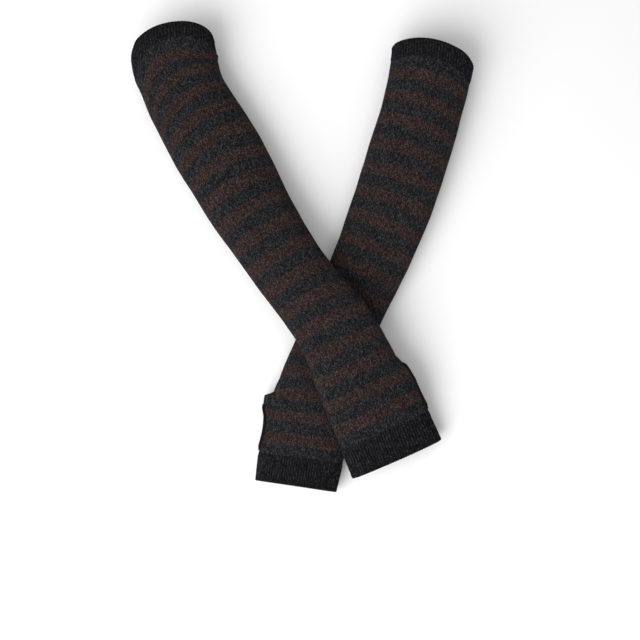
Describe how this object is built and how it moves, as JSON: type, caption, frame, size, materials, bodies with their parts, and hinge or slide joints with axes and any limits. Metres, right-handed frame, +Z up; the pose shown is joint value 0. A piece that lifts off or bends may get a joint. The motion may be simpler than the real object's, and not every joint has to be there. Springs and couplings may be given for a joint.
{
  "type": "fingerless gloves",
  "caption": "Pair of long striped knitted fingerless gloves with ribbed ends and thumb holes, lying crossed.",
  "frame": {"origin": "centre of the crossed pair's footprint, on the surface that it lies on", "axes": "+Z up from the surface; +Y towards the rims above the elbow, -Y towards the fingers; +X towards the right glove's thumb side"},
  "size_m": [0.2809, 0.3697, 0.0497],
  "materials": {
    "knit_black": "plain knit face bands in black yarn",
    "knit_brown": "plain knit face bands in heathered brown yarn",
    "knit_ground": "plated ground yarn on the inside",
    "rib_black": "ribbed cuff in black yarn",
    "welt_black": "turned welt at the edge",
    "binding_thread": "overlocked thread, closely stitched",
    "elastic": "covered elastic thread inside the rib"
  },
  "bodies": {
    "left_forearm": {"left_forearm_brown_bands": "knit_brown", "left_forearm_black_bands": "knit_black", "left_forearm_ground_upper": "knit_ground", "left_forearm_ground_lower": "knit_ground", "left_elbow_brown_bands": "knit_brown", "left_elbow_black_bands": "knit_black", "left_elbow_ground": "knit_ground", "left_wrist_brown_bands": "knit_brown", "left_wrist_black_bands": "knit_black", "left_wrist_ground": "knit_ground"},
    "left_upper": {"left_upper_welt": "welt_black", "left_upper_rib": "rib_black", "left_upper_elastic": "elastic", "left_upper_black_band": "knit_black", "left_upper_ground": "knit_ground"},
    "left_hand": {"left_hand_brown_bands": "knit_brown", "left_hand_black_bands": "knit_black", "left_hand_ground": "knit_ground", "left_hand_rib": "rib_black", "left_hand_elastic": "elastic", "left_hand_welt": "welt_black", "left_thumb_binding": "binding_thread", "left_thumb_bartacks": "binding_thread"},
    "right_forearm": {"right_forearm_brown_bands": "knit_brown", "right_forearm_black_bands": "knit_black", "right_forearm_ground_upper": "knit_ground", "right_forearm_ground_lower": "knit_ground", "right_elbow_brown_bands": "knit_brown", "right_elbow_black_bands": "knit_black", "right_elbow_ground": "knit_ground", "right_wrist_brown_bands": "knit_brown", "right_wrist_black_bands": "knit_black", "right_wrist_ground": "knit_ground"},
    "right_upper": {"right_upper_welt": "welt_black", "right_upper_rib": "rib_black", "right_upper_elastic": "elastic", "right_upper_black_band": "knit_black", "right_upper_ground": "knit_ground"},
    "right_hand": {"right_hand_brown_bands": "knit_brown", "right_hand_black_bands": "knit_black", "right_hand_ground": "knit_ground", "right_hand_rib": "rib_black", "right_hand_elastic": "elastic", "right_hand_welt": "welt_black", "right_thumb_binding": "binding_thread", "right_thumb_bartacks": "binding_thread"}
  },
  "joints": [
    {"name": "right_lift", "type": "slide", "parent": "left_forearm", "child": "right_forearm", "axis": [0, 0, 1], "range_m": [0, 0.15]},
    {"name": "right_wrist", "type": "hinge", "parent": "right_forearm", "child": "right_hand", "pos_m": [0.0433, -0.0797, 0.0353], "axis": [0, 0, 1], "range_deg": [0, 25], "deforming": ["right_wrist_brown_bands", "right_wrist_black_bands", "right_wrist_ground"]},
    {"name": "right_elbow", "type": "hinge", "parent": "right_forearm", "child": "right_upper", "pos_m": [-0.0937, 0.1334, 0.0199], "axis": [0, 0, 1], "range_deg": [-25, 25], "deforming": ["right_elbow_brown_bands", "right_elbow_black_bands", "right_elbow_ground"]},
    {"name": "left_wrist", "type": "hinge", "parent": "left_forearm", "child": "left_hand", "pos_m": [0.0129, -0.1051, 0.0125], "axis": [0, 0, 1], "range_deg": [-25, 0], "deforming": ["left_wrist_brown_bands", "left_wrist_black_bands", "left_wrist_ground"]},
    {"name": "left_elbow", "type": "hinge", "parent": "left_forearm", "child": "left_upper", "pos_m": [0.1, 0.1232, 0.0188], "axis": [0, 0, 1], "range_deg": [-25, 25], "deforming": ["left_elbow_brown_bands", "left_elbow_black_bands", "left_elbow_ground"]}
  ]
}
